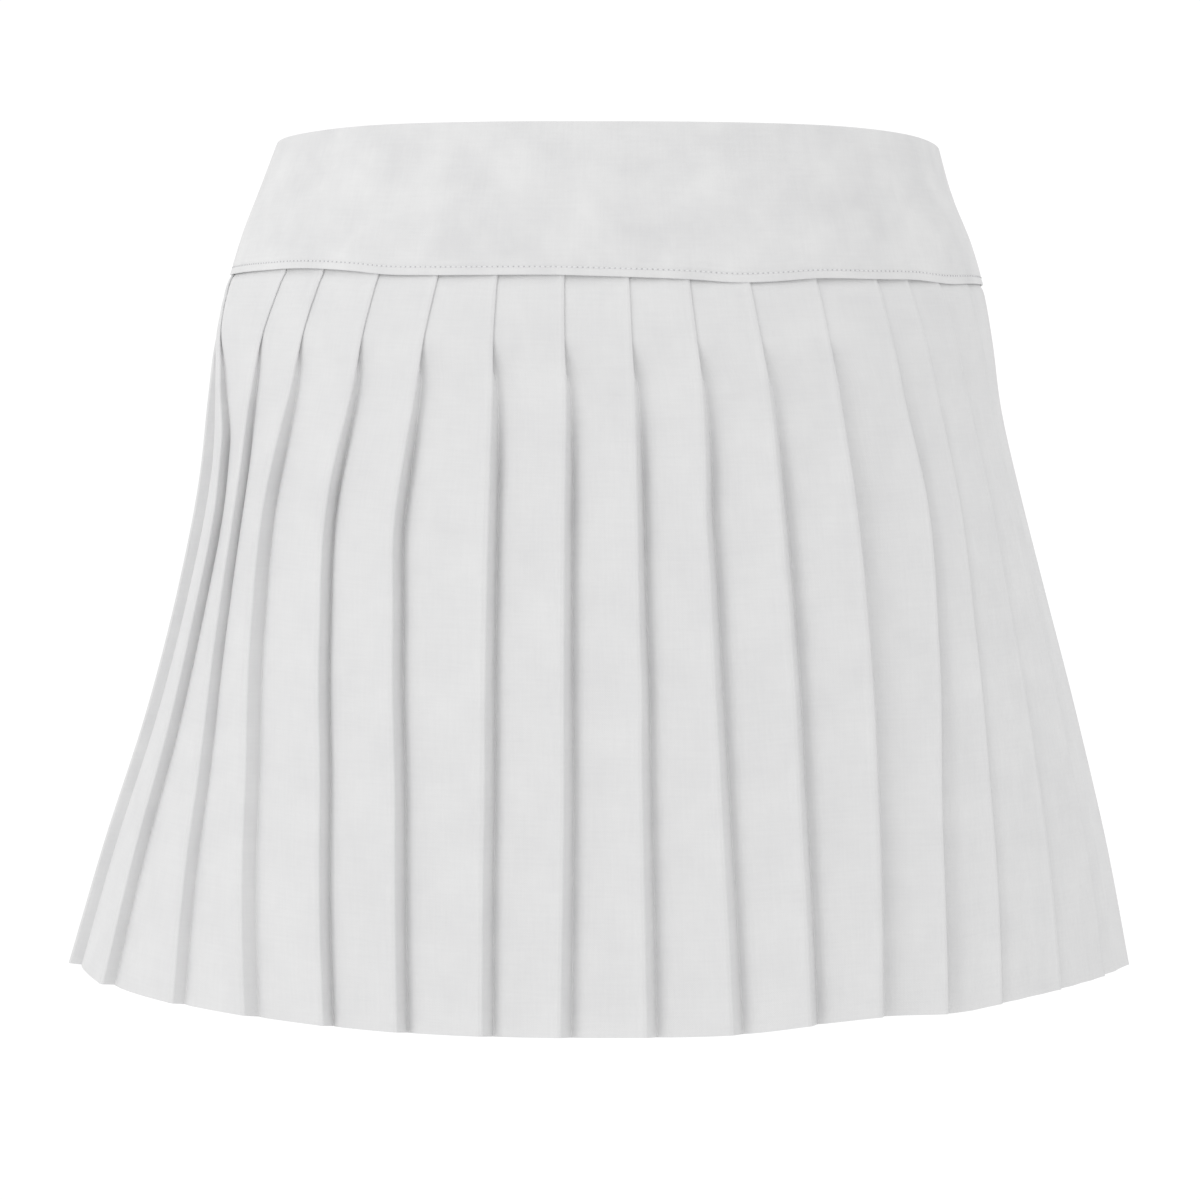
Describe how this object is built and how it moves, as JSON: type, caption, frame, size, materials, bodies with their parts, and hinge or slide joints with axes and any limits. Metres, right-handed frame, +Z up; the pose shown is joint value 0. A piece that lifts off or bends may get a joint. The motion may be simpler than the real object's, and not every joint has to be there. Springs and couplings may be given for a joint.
{
  "type": "tennis skirt",
  "caption": "Short white tennis skirt held in its worn form: a smooth hip yoke over one-way knife pleats, sewn down at the hips and open below to a flared hem.",
  "frame": {"origin": "centre of the waist opening, level with the top edge of the yoke on the hips", "axes": "+Z up out of the waist; the front of the skirt faces -Y; +X runs across the hips, to the right of someone who looks at the front"},
  "size_m": [0.4497, 0.2888, 0.3546],
  "materials": {
    "yoke_cloth": "matte white plain weave, two layers pressed together",
    "pleat_cloth": "matte white plain weave, pressed into sharp pleats"
  },
  "bodies": {
    "root": {"yoke_front": "yoke_cloth", "yoke_back": "yoke_cloth", "skirt_front": "pleat_cloth", "skirt_back": "pleat_cloth"}
  },
  "joints": []
}
